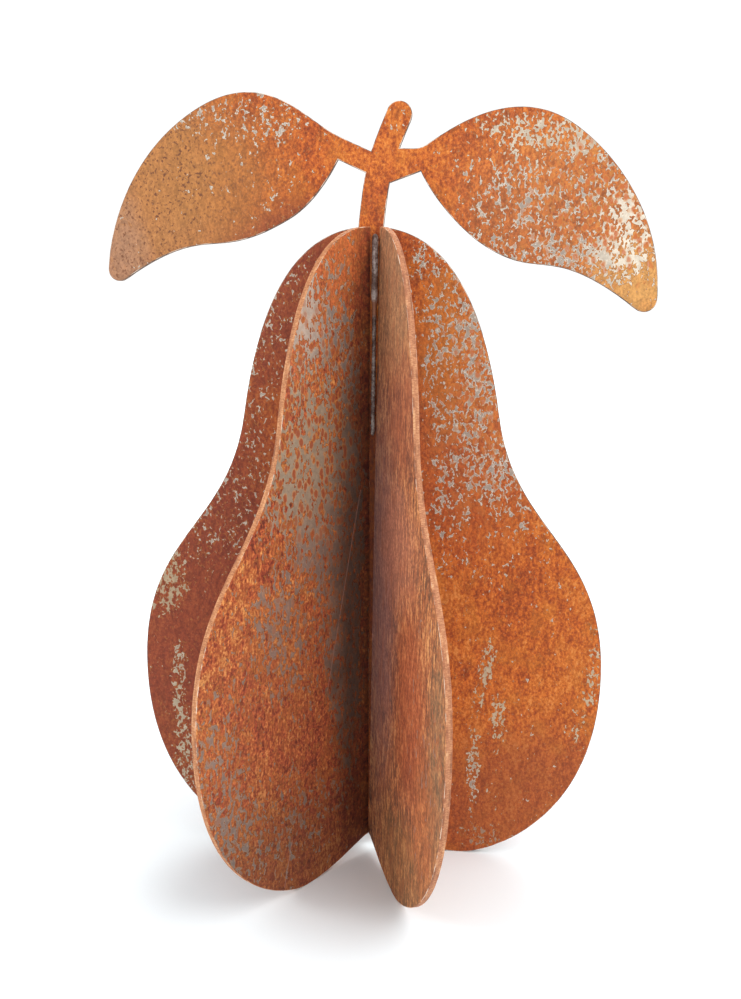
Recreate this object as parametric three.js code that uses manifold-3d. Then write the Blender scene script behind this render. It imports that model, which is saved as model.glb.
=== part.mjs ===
// A pear in flat steel sheet, standing on its own feet. One full silhouette carries the stem and
// two leaves, and four half silhouettes stand round the pear's axis like the vanes of a wheel.
// Millimetres, +Z up. The full silhouette lies in the XZ plane and shows its front to -Y.

import * as THREE from "three";
import { mergeVertices } from "three/addons/utils/BufferGeometryUtils.js";
import Module from "manifold-3d";

// The sheet, and the gap between pieces that meet
const SHEET = 3;
const CLEARANCE = 0.3;

// The pear's half profile, as radius from the axis and height above the ground
const CROWN_HEIGHT = 336;
const NECK_RADIUS = 66;
const NECK_HEIGHT = 242;
const NECK_SLOPE = 8.6;
const BELLY_RADIUS = 123.1;
const BELLY_HEIGHT = 103.3;
const FOOT_RADIUS = 51;
const DIMPLE_HEIGHT = 9.5;

// How far the profile holds its direction on leaving a point, as a share of the stretch it shapes
const HOLD = {
  crown: 0.43,
  shoulder: 0.8,
  waistBelowNeck: 0.455,
  waistAboveBelly: 0.535,
  belowBelly: 0.805,
  outsideFoot: 0.2,
  insideFoot: 0.39,
  dimpleReach: 0.35,
  dimpleRise: 0.58,
};

// The stem, a bar of even width with a round top, that leans to the right above the fork
const STEM_WIDTH = 12.6;
const STEM_ROOT = 10;
const FORK_HEIGHT = 28.2;
const FORK_LEAN = 4.2;
const STEM_TOP_HEIGHT = 59.2;
const STEM_TOP_LEAN = 13.6;

// The two leaves. The base is where the branch meets the leaf, as seen from the fork, and the droop
// is the angle of the line from base to tip below the horizontal. The crest and the belly are the
// furthest points above and below that line, given along it and away from it. Each curve value is
// how far the edge holds its direction on leaving the branch, the crest, the tip and the belly.
const LEFT_LEAF = {
  side: -1,
  branchReach: 23.4,
  branchRise: 10.7,
  branchWidthAtFork: 10.2,
  branchWidthAtLeaf: 10.2,
  droop: 29.4,
  length: 131.2,
  crestAlong: 49.8,
  crestUp: 48.8,
  bellyAlong: 37.1,
  bellyDown: 19.8,
  baseDown: 6.7,
  tipRadius: 5.5,
  tipUp: 1.8,
  branchCurve: 16.6,
  crestCurve: 43.7,
  tipCurve: 15,
  bellyCurve: 45.7,
};
const RIGHT_LEAF = {
  side: 1,
  branchReach: 21.1,
  branchRise: 4,
  branchWidthAtFork: 17.4,
  branchWidthAtLeaf: 10.6,
  droop: 33.5,
  length: 134.9,
  crestAlong: 52,
  crestUp: 53,
  bellyAlong: 46.7,
  bellyDown: 17.5,
  baseDown: 3.9,
  tipRadius: 6.1,
  tipUp: 4.5,
  branchCurve: 4.1,
  crestCurve: 20.5,
  tipCurve: 42.9,
  bellyCurve: 36.4,
};

// The leaves' shared angles, in degrees: where the round tip begins and ends, and how steeply the
// lower edge falls away from the branch
const TIP_FROM = 32;
const TIP_TO = -94;
const CORNER_FALL = 33;

// How far both leaves' edges hold their direction at the other points, as shares of their length
const LEAF_HOLD = { insideCrest: 0.306, belowTip: 0.415, insideBelly: 0.08, corner: 0.13 };

// The four fins. Each turns about the axis from +X, stands off its own radial line by its offset at
// the ground, and leans sideways. The front right one was welded a little askew.
const FINS = [
  { name: "front_left_fin", turn: -124.6, offset: -0.5, lean: 0, colour: 0x9a4a2b },
  { name: "front_right_fin", turn: -69.4, offset: 0.7, lean: 0.75, colour: 0x9c6242 },
  { name: "rear_left_fin", turn: 120, offset: 0, lean: 0, colour: 0x8f4527 },
  { name: "rear_right_fin", turn: 60, offset: 0, lean: 0, colour: 0x8f4527 },
];

// The weld seams, lumpy beads in the upper part of the front and the rear wedge
const SEAM_RADIUS = 1.5;
const SEAM_LENGTH = 101;
const SEAM_BELOW_CROWN = 3.5;
const SEAM_LUMP = 0.2;
const SEAM_LUMP_SPACING = 6.5;

// How finely the curves are cut into straight pieces
const CURVE_STEPS = 22;
const TIP_STEPS = 10;
const SEAM_SIDES = 8;
const SEAM_STEPS_PER_LUMP = 4;

const wasm = await Module();
wasm.setup();

const radians = THREE.MathUtils.degToRad;
const point = (x, y) => new THREE.Vector2(x, y);

// A smooth piece of outline between two points, as its own list of points without the last
function curve(start, startHandle, endHandle, end) {
  const bezier = new THREE.CubicBezierCurve(start, startHandle, endHandle, end);
  return bezier.getPoints(CURVE_STEPS).slice(0, -1);
}

// The pear's half profile from crown to dimple: a round crown, a soft neck, a full belly and a foot
// that curls in under the pear
function pearProfile() {
  const crown = point(0, CROWN_HEIGHT);
  const neck = point(NECK_RADIUS, NECK_HEIGHT);
  const belly = point(BELLY_RADIUS, BELLY_HEIGHT);
  const foot = point(FOOT_RADIUS, 0);
  const dimple = point(0, DIMPLE_HEIGHT);
  const down = point(Math.sin(radians(NECK_SLOPE)), -Math.cos(radians(NECK_SLOPE)));
  const alongNeck = (distance) => neck.clone().addScaledVector(down, distance);
  const shoulderFall = CROWN_HEIGHT - NECK_HEIGHT;
  const waistFall = NECK_HEIGHT - BELLY_HEIGHT;
  return [
    ...curve(
      crown,
      point(HOLD.crown * NECK_RADIUS, CROWN_HEIGHT),
      alongNeck(-HOLD.shoulder * shoulderFall),
      neck,
    ),
    ...curve(
      neck,
      alongNeck(HOLD.waistBelowNeck * waistFall),
      point(BELLY_RADIUS, BELLY_HEIGHT + HOLD.waistAboveBelly * waistFall),
      belly,
    ),
    ...curve(
      belly,
      point(BELLY_RADIUS, BELLY_HEIGHT - HOLD.belowBelly * BELLY_HEIGHT),
      point(FOOT_RADIUS + HOLD.outsideFoot * (BELLY_RADIUS - FOOT_RADIUS), 0),
      foot,
    ),
    ...curve(
      foot,
      point(FOOT_RADIUS - HOLD.insideFoot * FOOT_RADIUS, 0),
      point(HOLD.dimpleReach * FOOT_RADIUS, HOLD.dimpleRise * DIMPLE_HEIGHT),
      dimple,
    ),
    dimple,
  ];
}

// Both halves of the profile, closed into the full pear
function pearOutline() {
  const right = pearProfile();
  const left = right.slice(1, -1).reverse();
  return [...right, ...left.map((p) => point(-p.x, p.y))];
}

// The point of the stem's centre line where both branches start
function fork() {
  return point(FORK_LEAN, CROWN_HEIGHT + FORK_HEIGHT);
}

// A bar of even width along the stem's centre line, rounded off at the top
function stemOutline() {
  const half = STEM_WIDTH / 2;
  const top = point(STEM_TOP_LEAN, CROWN_HEIGHT + STEM_TOP_HEIGHT - half);
  const root = point(0, CROWN_HEIGHT - STEM_ROOT);
  const line = new THREE.SplineCurve([root, point(0, CROWN_HEIGHT), fork(), top]);
  const left = [];
  const right = [];
  for (let step = 0; step <= CURVE_STEPS; step += 1) {
    const share = step / CURVE_STEPS;
    const centre = line.getPoint(share);
    const along = line.getTangent(share);
    const across = point(along.y, -along.x);
    right.push(centre.clone().addScaledVector(across, half));
    left.unshift(centre.clone().addScaledVector(across, -half));
  }
  const start = right[CURVE_STEPS].clone().sub(top).angle();
  const cap = [];
  for (let step = 1; step < TIP_STEPS; step += 1) {
    const angle = start + (Math.PI * step) / TIP_STEPS;
    cap.push(point(top.x + half * Math.cos(angle), top.y + half * Math.sin(angle)));
  }
  return [...right, ...cap, ...left];
}

// The point where a branch ends and its leaf begins
function leafBase(leaf) {
  return fork().add(point(leaf.side * leaf.branchReach, leaf.branchRise));
}

// A tapered bar from the fork into the leaf
function branchOutline(leaf) {
  const start = fork();
  const end = leafBase(leaf);
  const along = end.clone().sub(start).normalize();
  const across = point(-along.y, along.x);
  return [
    start.clone().addScaledVector(across, leaf.branchWidthAtFork / 2),
    end.clone().addScaledVector(across, leaf.branchWidthAtLeaf / 2),
    end.clone().addScaledVector(across, -leaf.branchWidthAtLeaf / 2),
    start.clone().addScaledVector(across, -leaf.branchWidthAtFork / 2),
  ];
}

// A point of the plate in the leaf's own frame: x from the base along to the tip, and y up
function toLeafFrame(leaf, p) {
  const base = leafBase(leaf);
  const cos = Math.cos(radians(leaf.droop));
  const sin = Math.sin(radians(leaf.droop));
  const outward = leaf.side * (p.x - base.x);
  const upward = p.y - base.y;
  return point(outward * cos - upward * sin, outward * sin + upward * cos);
}

// A point of the leaf's own frame on the plate
function fromLeafFrame(leaf, p) {
  const base = leafBase(leaf);
  const cos = Math.cos(radians(leaf.droop));
  const sin = Math.sin(radians(leaf.droop));
  return point(base.x + leaf.side * (p.x * cos + p.y * sin), base.y - p.x * sin + p.y * cos);
}

// A leaf: the upper edge that flows out of the branch's and over the crest, the round tip, and the
// lower edge that is hollow by the tip, full at the belly, and meets the branch at a sharp corner
function leafOutline(leaf) {
  const [first, second, third, fourth] = branchOutline(leaf).map((p) => toLeafFrame(leaf, p));
  const [branchRoot, branchEnd] = leaf.side > 0 ? [first, second] : [fourth, third];
  const flow = branchEnd.clone().sub(branchRoot).normalize();
  const crest = point(leaf.crestAlong, leaf.crestUp);
  const tip = point(leaf.length - leaf.tipRadius, leaf.tipUp);
  const belly = point(leaf.bellyAlong, -leaf.bellyDown);
  const corner = point(0, -leaf.baseDown);
  const ray = (start, degrees, distance) =>
    point(start.x + distance * Math.cos(radians(degrees)), start.y + distance * Math.sin(radians(degrees)));
  const tipStart = ray(tip, TIP_FROM, leaf.tipRadius);
  const tipEnd = ray(tip, TIP_TO, leaf.tipRadius);
  const roundTip = [];
  for (let step = 0; step < TIP_STEPS; step += 1) {
    roundTip.push(ray(tip, TIP_FROM + ((TIP_TO - TIP_FROM) * step) / TIP_STEPS, leaf.tipRadius));
  }
  const outline = [
    ...curve(
      branchEnd,
      branchEnd.clone().addScaledVector(flow, leaf.branchCurve),
      point(crest.x - LEAF_HOLD.insideCrest * leaf.length, crest.y),
      crest,
    ),
    ...curve(
      crest,
      point(crest.x + leaf.crestCurve, crest.y),
      ray(tipStart, TIP_FROM + 90, leaf.tipCurve),
      tipStart,
    ),
    ...roundTip,
    ...curve(
      tipEnd,
      ray(tipEnd, TIP_TO - 90, LEAF_HOLD.belowTip * leaf.length),
      point(belly.x + leaf.bellyCurve, belly.y),
      belly,
    ),
    ...curve(
      belly,
      point(belly.x - LEAF_HOLD.insideBelly * leaf.length, belly.y),
      ray(corner, -CORNER_FALL, LEAF_HOLD.corner * leaf.length),
      corner,
    ),
    corner,
  ];
  return outline.map((p) => fromLeafFrame(leaf, p));
}

// A sheet with the given outline, still lying flat: x and y in the sheet, half of it below z = 0
function sheetGeometry(outline) {
  const geometry = new THREE.ExtrudeGeometry(new THREE.Shape(outline), {
    depth: SHEET,
    bevelEnabled: false,
  });
  return geometry.translate(0, 0, -SHEET / 2);
}

// Turns flat sheets into solids, joins them, and gives back one geometry
function joinedGeometry(geometries) {
  const solids = geometries.map((geometry) => {
    geometry.deleteAttribute("normal");
    geometry.deleteAttribute("uv");
    const merged = mergeVertices(geometry);
    const mesh = new wasm.Mesh({
      numProp: 3,
      vertProperties: Float32Array.from(merged.attributes.position.array),
      triVerts: Uint32Array.from(merged.index.array),
    });
    return new wasm.Manifold(mesh);
  });
  const joined = solids.reduce((whole, next) => whole.add(next)).getMesh();
  const geometry = new THREE.BufferGeometry();
  geometry.setAttribute("position", new THREE.BufferAttribute(joined.vertProperties, 3));
  geometry.setIndex(new THREE.BufferAttribute(joined.triVerts, 1));
  return geometry;
}

// Raises a flat sheet so that its y axis points up
function standUp(geometry) {
  return geometry.rotateX(Math.PI / 2);
}

function mesh(name, geometry, colour, roughness, metalness) {
  const material = new THREE.MeshStandardMaterial({ color: colour, roughness, metalness });
  const piece = new THREE.Mesh(geometry, material);
  piece.name = name;
  return piece;
}

// The full silhouette: pear, stem, branches and leaves cut from one sheet
function mainPlate() {
  const outlines = [
    pearOutline(),
    stemOutline(),
    branchOutline(LEFT_LEAF),
    branchOutline(RIGHT_LEAF),
    leafOutline(LEFT_LEAF),
    leafOutline(RIGHT_LEAF),
  ];
  const geometry = standUp(joinedGeometry(outlines.map(sheetGeometry)));
  return mesh("main_plate", geometry, 0xb0592b, 0.85, 0.25);
}

// How far a fin stands off its radial line at a height
function finShift(fin, height) {
  return fin.offset + Math.sin(radians(fin.lean)) * height;
}

// Half the angle between a fin and the other fin on its side of the main plate
function halfWedge(fin) {
  const other = FINS.find((f) => f !== fin && Math.sign(f.turn) === Math.sign(fin.turn));
  return radians(Math.abs(fin.turn - other.turn)) / 2;
}

// The radius where a fin begins, so that its square inner edge clears the main plate from foot to
// crown, and the next fin
function finStart(fin) {
  const side = Math.sign(fin.turn);
  const cos = Math.cos(radians(fin.turn));
  const sin = Math.abs(Math.sin(radians(fin.turn)));
  const nearer = Math.min(side * cos * finShift(fin, 0), side * cos * finShift(fin, CROWN_HEIGHT));
  const clearOfPlate = (SHEET / 2 + CLEARANCE + (SHEET / 2) * Math.abs(cos) - nearer) / sin;
  const half = halfWedge(fin);
  const clearOfFin = (CLEARANCE / 2 + (SHEET / 2) * Math.cos(half)) / Math.sin(half);
  return Math.max(clearOfPlate, clearOfFin);
}

// The height of a profile's edge at a radius, between the two points on either side of it
function heightAt(radius, inner, outer) {
  const share = (radius - inner.x) / (outer.x - inner.x);
  return inner.y + share * (outer.y - inner.y);
}

// Half a pear, cut straight and upright along its inner edge
function finOutline(fin) {
  const start = finStart(fin);
  const profile = pearProfile();
  const first = profile.findIndex((p) => p.x > start);
  const last = profile.findLastIndex((p) => p.x > start);
  const top = point(start, heightAt(start, profile[first - 1], profile[first]));
  const bottom = point(start, heightAt(start, profile[last + 1], profile[last]));
  return [top, ...profile.slice(first, last + 1), bottom];
}

function finMesh(fin) {
  const lean = radians(fin.lean);
  const piece = mesh(fin.name, standUp(sheetGeometry(finOutline(fin))), fin.colour, 0.85, 0.25);
  piece.rotation.x = -lean;
  piece.position.set(0, fin.offset, (SHEET / 2) * Math.sin(lean));
  const turned = new THREE.Group();
  turned.rotation.z = radians(fin.turn);
  turned.add(piece);
  return turned;
}

// The centre of a seam at a height: as deep in the wedge between two fins as its radius allows, and
// clear of the main plate behind it. The first fin is the one that the wedge opens from.
function seamCentre(from, to, height) {
  const reach = SHEET / 2 + CLEARANCE + SEAM_RADIUS + SEAM_LUMP;
  const normal = (fin) => point(-Math.sin(radians(fin.turn)), Math.cos(radians(fin.turn)));
  const a = normal(from);
  const b = normal(to);
  const fromFace = finShift(from, height) + reach;
  const toFace = finShift(to, height) - reach;
  const scale = a.x * b.y - a.y * b.x;
  const x = (fromFace * b.y - toFace * a.y) / scale;
  const y = (a.x * toFace - b.x * fromFace) / scale;
  return new THREE.Vector3(x, Math.sign(from.turn) * Math.max(Math.abs(y), reach), height);
}

// A weld bead, a round bar with a swelling at every lump, laid from one end to the other
function seamMesh(name, from, to) {
  const top = seamCentre(from, to, CROWN_HEIGHT - SEAM_BELOW_CROWN);
  const bottom = seamCentre(from, to, CROWN_HEIGHT - SEAM_BELOW_CROWN - SEAM_LENGTH);
  const length = top.distanceTo(bottom);
  const lumps = Math.max(1, Math.round(SEAM_LENGTH / SEAM_LUMP_SPACING));
  const steps = lumps * SEAM_STEPS_PER_LUMP;
  const profile = [point(0, 0)];
  for (let step = 1; step < steps; step += 1) {
    const swelling = SEAM_LUMP * Math.sin((2 * Math.PI * step) / SEAM_STEPS_PER_LUMP);
    profile.push(point(SEAM_RADIUS + swelling, (length * step) / steps));
  }
  profile.push(point(0, length));
  const piece = mesh(name, new THREE.LatheGeometry(profile, SEAM_SIDES), 0x77706a, 0.6, 0.5);
  piece.position.copy(bottom);
  piece.quaternion.setFromUnitVectors(new THREE.Vector3(0, 1, 0), top.clone().sub(bottom).normalize());
  return piece;
}

// The whole sculpture, moved so that the middle of its underside is the origin
function sculpture() {
  const [frontLeft, frontRight, rearLeft, rearRight] = FINS;
  const pieces = new THREE.Group();
  pieces.add(mainPlate());
  pieces.add(...FINS.map(finMesh));
  pieces.add(seamMesh("front_weld_seam", frontLeft, frontRight));
  pieces.add(seamMesh("rear_weld_seam", rearRight, rearLeft));
  pieces.updateMatrixWorld(true);
  const box = new THREE.Box3().setFromObject(pieces, true);
  const middle = box.getCenter(new THREE.Vector3());
  pieces.position.set(-middle.x, -middle.y, -box.min.z);
  const whole = new THREE.Group();
  whole.add(pieces);
  return whole;
}

export default sculpture();
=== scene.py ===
"""The looks of the sheet-steel pear: rusted plates with flecks of mill scale, cut edges and weld beads.

Metres, +Z up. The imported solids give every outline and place. Each sheet is made again as a fine
mesh with rounded cut edges and slight waves, and rust is built from noise in the sheet's own place:
distance from the pear's axis, and height.
"""

import math

import bpy
import numpy as np
from mathutils import Matrix, Vector
from mathutils.geometry import delaunay_2d_cdt
from mathutils.kdtree import KDTree


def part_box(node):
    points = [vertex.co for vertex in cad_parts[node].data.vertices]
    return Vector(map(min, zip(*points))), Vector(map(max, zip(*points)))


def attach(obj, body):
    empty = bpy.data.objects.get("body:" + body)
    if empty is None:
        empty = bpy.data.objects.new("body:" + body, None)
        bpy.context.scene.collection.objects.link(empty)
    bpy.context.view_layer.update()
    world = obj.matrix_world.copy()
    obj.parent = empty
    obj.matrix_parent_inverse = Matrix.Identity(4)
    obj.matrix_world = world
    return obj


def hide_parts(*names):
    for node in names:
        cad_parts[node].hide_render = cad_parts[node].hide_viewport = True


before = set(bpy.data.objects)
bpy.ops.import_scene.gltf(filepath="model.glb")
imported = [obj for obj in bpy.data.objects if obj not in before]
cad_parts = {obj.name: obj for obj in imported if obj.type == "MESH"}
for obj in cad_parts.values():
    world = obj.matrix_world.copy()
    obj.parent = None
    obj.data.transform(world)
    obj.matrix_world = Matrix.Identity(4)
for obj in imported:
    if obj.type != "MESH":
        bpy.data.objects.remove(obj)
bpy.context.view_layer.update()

MM = 0.001
PLATES = {
    "main_plate": "main_plate_steel",
    "front_left_fin": "fin_steel",
    "front_right_fin": "fin_steel",
    "rear_left_fin": "fin_steel",
    "rear_right_fin": "fin_steel",
}
FINS = [node for node in PLATES if node != "main_plate"]

# How finely a sheet is meshed
SURFACE_STEP = 1.45 * MM
EDGE_STEP = 1.1 * MM
EDGE_ROUND = 0.32 * MM
ROUND_STEPS = 2
SHARP_TURN = math.radians(22)
SMOOTH_BELOW = math.radians(40)
SAME_PLACE = 0.005 * MM
SAME_WAY = 0.999
WELD_GAP = 0.03 * MM
RIM_LEVEL = 0.33
RIM_CLEARANCE = 0.72

# A face's slow waves, dents and rust crust as height and spacing, and the roughness of a cut
WAVES = [(0.10 * MM, 55 * MM), (0.045 * MM, 11 * MM), (0.035 * MM, 3.4 * MM)]
CUT_HEIGHT = 0.03 * MM
CUT_SPACING = 1.3 * MM
LATTICE = 256

# The photograph's frame and the camera that it was taken with, from the pear's axis
FRAME_HEIGHT = 999
FOCAL_PIXELS = 1035.17
CAMERA_DISTANCE = 532.41 * MM
CAMERA_HEIGHT = 301.41 * MM
CAMERA_SIDE = math.radians(5.417)
CAMERA_YAW = math.radians(5.404)
CAMERA_TILT = math.radians(78.953)
CAMERA_ROLL = math.radians(0.206)
SENSOR = 36


def find_axis():
    """Where the pear's upright axis stands: midway between the rear fins' tips, in the main plate."""
    left_low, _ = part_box("rear_left_fin")
    _, right_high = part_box("rear_right_fin")
    low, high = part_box("main_plate")
    return Vector(((left_low.x + right_high.x) / 2, (low.y + high.y) / 2, 0))


AXIS = find_axis()


# Smooth random heights

def wander(places, spacing, seed):
    """A smooth random number from -1 to 1 at each flat place, with swells about a spacing apart."""
    lattice = np.random.default_rng(seed).uniform(-1, 1, (LATTICE, LATTICE))
    grid = places / spacing + LATTICE / 4
    cell = np.floor(grid).astype(int)
    share = grid - cell
    share = share * share * (3 - 2 * share)
    x, y = cell.T % LATTICE
    x_next = (x + 1) % LATTICE
    y_next = (y + 1) % LATTICE
    near = lattice[x, y] * (1 - share[:, 0]) + lattice[x_next, y] * share[:, 0]
    far = lattice[x, y_next] * (1 - share[:, 0]) + lattice[x_next, y_next] * share[:, 0]
    return near * (1 - share[:, 1]) + far * share[:, 1]


def relief(places, seed):
    """How far a rusty face stands proud at each place."""
    waves = enumerate(WAVES)
    return sum(height * wander(places, spacing, seed + k) for k, (height, spacing) in waves)


# A packed sheet's own axes and outline

def welded(node):
    """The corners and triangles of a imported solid, with each shared corner counted once."""
    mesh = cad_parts[node].data
    mesh.calc_loop_triangles()
    corners = np.array([v.co for v in mesh.vertices])
    triangles = np.array([t.vertices for t in mesh.loop_triangles])
    keys = np.round(corners / SAME_PLACE)
    _, first, same = np.unique(keys, axis=0, return_index=True, return_inverse=True)
    triangles = same.ravel()[triangles]
    whole = [len(set(t)) == 3 for t in triangles.tolist()]
    return corners[first], triangles[whole]


def face_directions(corners, triangles):
    """Each triangle's outward direction, as long as twice its area."""
    a, b, c = (corners[triangles[:, k]] for k in range(3))
    return np.cross(b - a, c - a)


def sheet_axes(corners, triangles):
    """A sheet's directions: across it, up it, and out of the face that looks to the front."""
    directions = face_directions(corners, triangles)
    sizes = np.maximum(np.linalg.norm(directions, axis=1, keepdims=True), 1e-12)
    spread = (directions / sizes).T @ directions
    out = np.linalg.eigh(spread)[1][:, -1]
    if out[1] > 0:
        out = -out
    up = np.array([0.0, 0.0, 1.0]) - out * out[2]
    up /= np.linalg.norm(up)
    return np.cross(up, out), up, out


def face_loop(corners, triangles, out):
    """The corners round the face that looks along out, in order, with the face on their left."""
    directions = face_directions(corners, triangles)
    facing = directions @ out > SAME_WAY * np.linalg.norm(directions, axis=1)
    edges = {(t[k], t[(k + 1) % 3]) for t in triangles[facing].tolist() for k in range(3)}
    following = {a: b for a, b in edges if (b, a) not in edges}
    loop = [min(following)]
    while following[loop[-1]] != loop[0]:
        loop.append(following[loop[-1]])
    return corners[loop]


def turns(points):
    """How sharply a flat loop turns at each of its points."""
    after = np.roll(points, -1, 0) - points
    after /= np.linalg.norm(after, axis=1, keepdims=True)
    before = np.roll(after, 1, 0)
    return np.arccos(np.clip((before * after).sum(1), -1, 1))


def spaced(points, nearest):
    """The loop without the blunter one of any two neighbours that are nearer than that."""
    turn = turns(points)
    kept = [0]
    for k in range(1, len(points)):
        if np.linalg.norm(points[k] - points[kept[-1]]) > nearest:
            kept.append(k)
        elif turn[k] > turn[kept[-1]]:
            kept[-1] = k
    if np.linalg.norm(points[kept[-1]] - points[kept[0]]) < nearest:
        kept.pop(0 if turn[kept[-1]] > turn[kept[0]] else -1)
    return points[kept]


def smooth_loop(points, step):
    """A flat loop with more points, curved through its own but sharp where it turns sharply."""
    after = np.roll(points, -1, 0) - points
    before = np.roll(after, 1, 0)
    length_after = np.linalg.norm(after, axis=1, keepdims=True)
    length_before = np.linalg.norm(before, axis=1, keepdims=True)
    slope_after = after / length_after
    slope_before = before / length_before
    blend = slope_before * length_after + slope_after * length_before
    blend /= length_before + length_after
    turn = turns(points)[:, None]
    arriving = np.where(turn > SHARP_TURN, slope_before, blend)
    leaving = np.where(turn > SHARP_TURN, slope_after, blend)
    smooth = []
    for k in range(len(points)):
        after_k = (k + 1) % len(points)
        length = length_after[k, 0]
        count = max(1, math.ceil(length / step))
        for share in np.arange(count) / count:
            swing = share * (1 - share) ** 2 * leaving[k] - share**2 * (1 - share) * arriving[after_k]
            rise = share * share * (3 - 2 * share)
            smooth.append(points[k] * (1 - rise) + points[after_k] * rise + swing * length)
    return np.array(smooth)


def inward(loop):
    """The direction into the sheet at each point of a loop that has the sheet on its left."""
    after = np.roll(loop, -1, 0) - loop
    after /= np.linalg.norm(after, axis=1, keepdims=True)
    before = np.roll(after, 1, 0)
    normals = np.stack([-(after + before)[:, 1], (after + before)[:, 0]], 1)
    normals /= np.maximum(np.linalg.norm(normals, axis=1, keepdims=True), 1e-9)
    cosine = np.abs(normals[:, 0] * -after[:, 1] + normals[:, 1] * after[:, 0])
    return normals / np.maximum(cosine, 0.5)[:, None]


def inside_points(loop, step):
    """Points in staggered rows inside a loop, kept a little way off it."""
    tree = KDTree(len(loop))
    for k, (x, y) in enumerate(loop):
        tree.insert((x, y, 0), k)
    tree.balance()
    start, end = loop, np.roll(loop, -1, 0)
    row_step = step * math.sqrt(3) / 2
    rows = np.arange(loop[:, 1].min() + row_step / 2, loop[:, 1].max(), row_step)
    points = []
    for number, y in enumerate(rows):
        crossing = (start[:, 1] > y) != (end[:, 1] > y)
        a, b = start[crossing], end[crossing]
        xs = np.sort(a[:, 0] + (y - a[:, 1]) * (b[:, 0] - a[:, 0]) / (b[:, 1] - a[:, 1]))
        for left, right in zip(xs[0::2], xs[1::2]):
            first = math.ceil(left / step - number % 2 / 2)
            last = math.floor(right / step - number % 2 / 2)
            for column in range(first, last + 1):
                x = (column + number % 2 / 2) * step
                if tree.find((x, y, 0))[2] > RIM_CLEARANCE * step:
                    points.append((x, y))
    return np.array(points)


def are_inside(points, loop):
    """Which points lie inside a loop: those with an odd count of its edges to their right."""
    x, y = points[:, :1], points[:, 1:]
    (x_a, y_a), (x_b, y_b) = loop.T, np.roll(loop, -1, 0).T
    spans = (y_a > y) != (y_b > y)
    rise = np.where(y_a == y_b, 1, y_b - y_a)
    return ((x < x_a + (y - y_a) * (x_b - x_a) / rise) & spans).sum(1) % 2 == 1


def filled(loop, inside):
    """Triangles between the points of a loop and those inside it."""
    points = np.vstack([loop, inside])
    count = len(loop)
    edges = [(k, (k + 1) % count) for k in range(count)]
    made, _, cells, *_ = delaunay_2d_cdt([Vector(p) for p in points], edges, [], 0, 1e-9, False)
    if len(made) != len(points):
        raise RuntimeError("the outline crosses itself")
    cells = np.array(cells)
    unsure = (cells < count).all(1)
    kept = ~unsure
    kept[unsure] = are_inside(points[cells[unsure]].mean(1), loop)
    return points, cells[kept]


# Sheets as fine meshes

def rim_rows(half):
    """The rounded rim from the front face to the back, as pairs of inset and height off the middle."""
    angles = np.linspace(0, math.pi / 2, ROUND_STEPS + 1)
    front = [(EDGE_ROUND * (1 - math.sin(a)), half - EDGE_ROUND * (1 - math.cos(a))) for a in angles]
    back = [(inset, -height) for inset, height in reversed(front)]
    return [*front, (0, RIM_LEVEL * half), (0, -RIM_LEVEL * half), *back]


def fin_direction(node):
    """Which way a fin points from the pear's axis."""
    low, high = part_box(node)
    middle = (low + high) / 2 - AXIS
    across, _, _ = sheet_axes(*welded(node))
    return across if across @ np.array(middle) > 0 else -across


def weld_reach(node, places):
    """How far from the axis a fin's inner edge meets the main plate, or the next fin, at each point."""
    along = fin_direction(node)
    side = math.copysign(1, along[1])
    other = next(fin_direction(n) for n in FINS if n != node and fin_direction(n)[1] * side > 0)
    halfway = (along + other) / np.linalg.norm(along + other)
    from_halfway = along - (along @ halfway) * halfway
    from_halfway /= np.linalg.norm(from_halfway)
    low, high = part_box("main_plate")
    from_plate = np.array([0, side, 0])
    moved = places - np.array(AXIS) - ((places - np.array(AXIS)) @ along)[:, None] * along
    plate = ((high.y - low.y) / 2 + WELD_GAP - moved @ from_plate) / (along @ from_plate)
    fin = (WELD_GAP - moved @ from_halfway) / (along @ from_halfway)
    return np.maximum(plate, fin)


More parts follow.
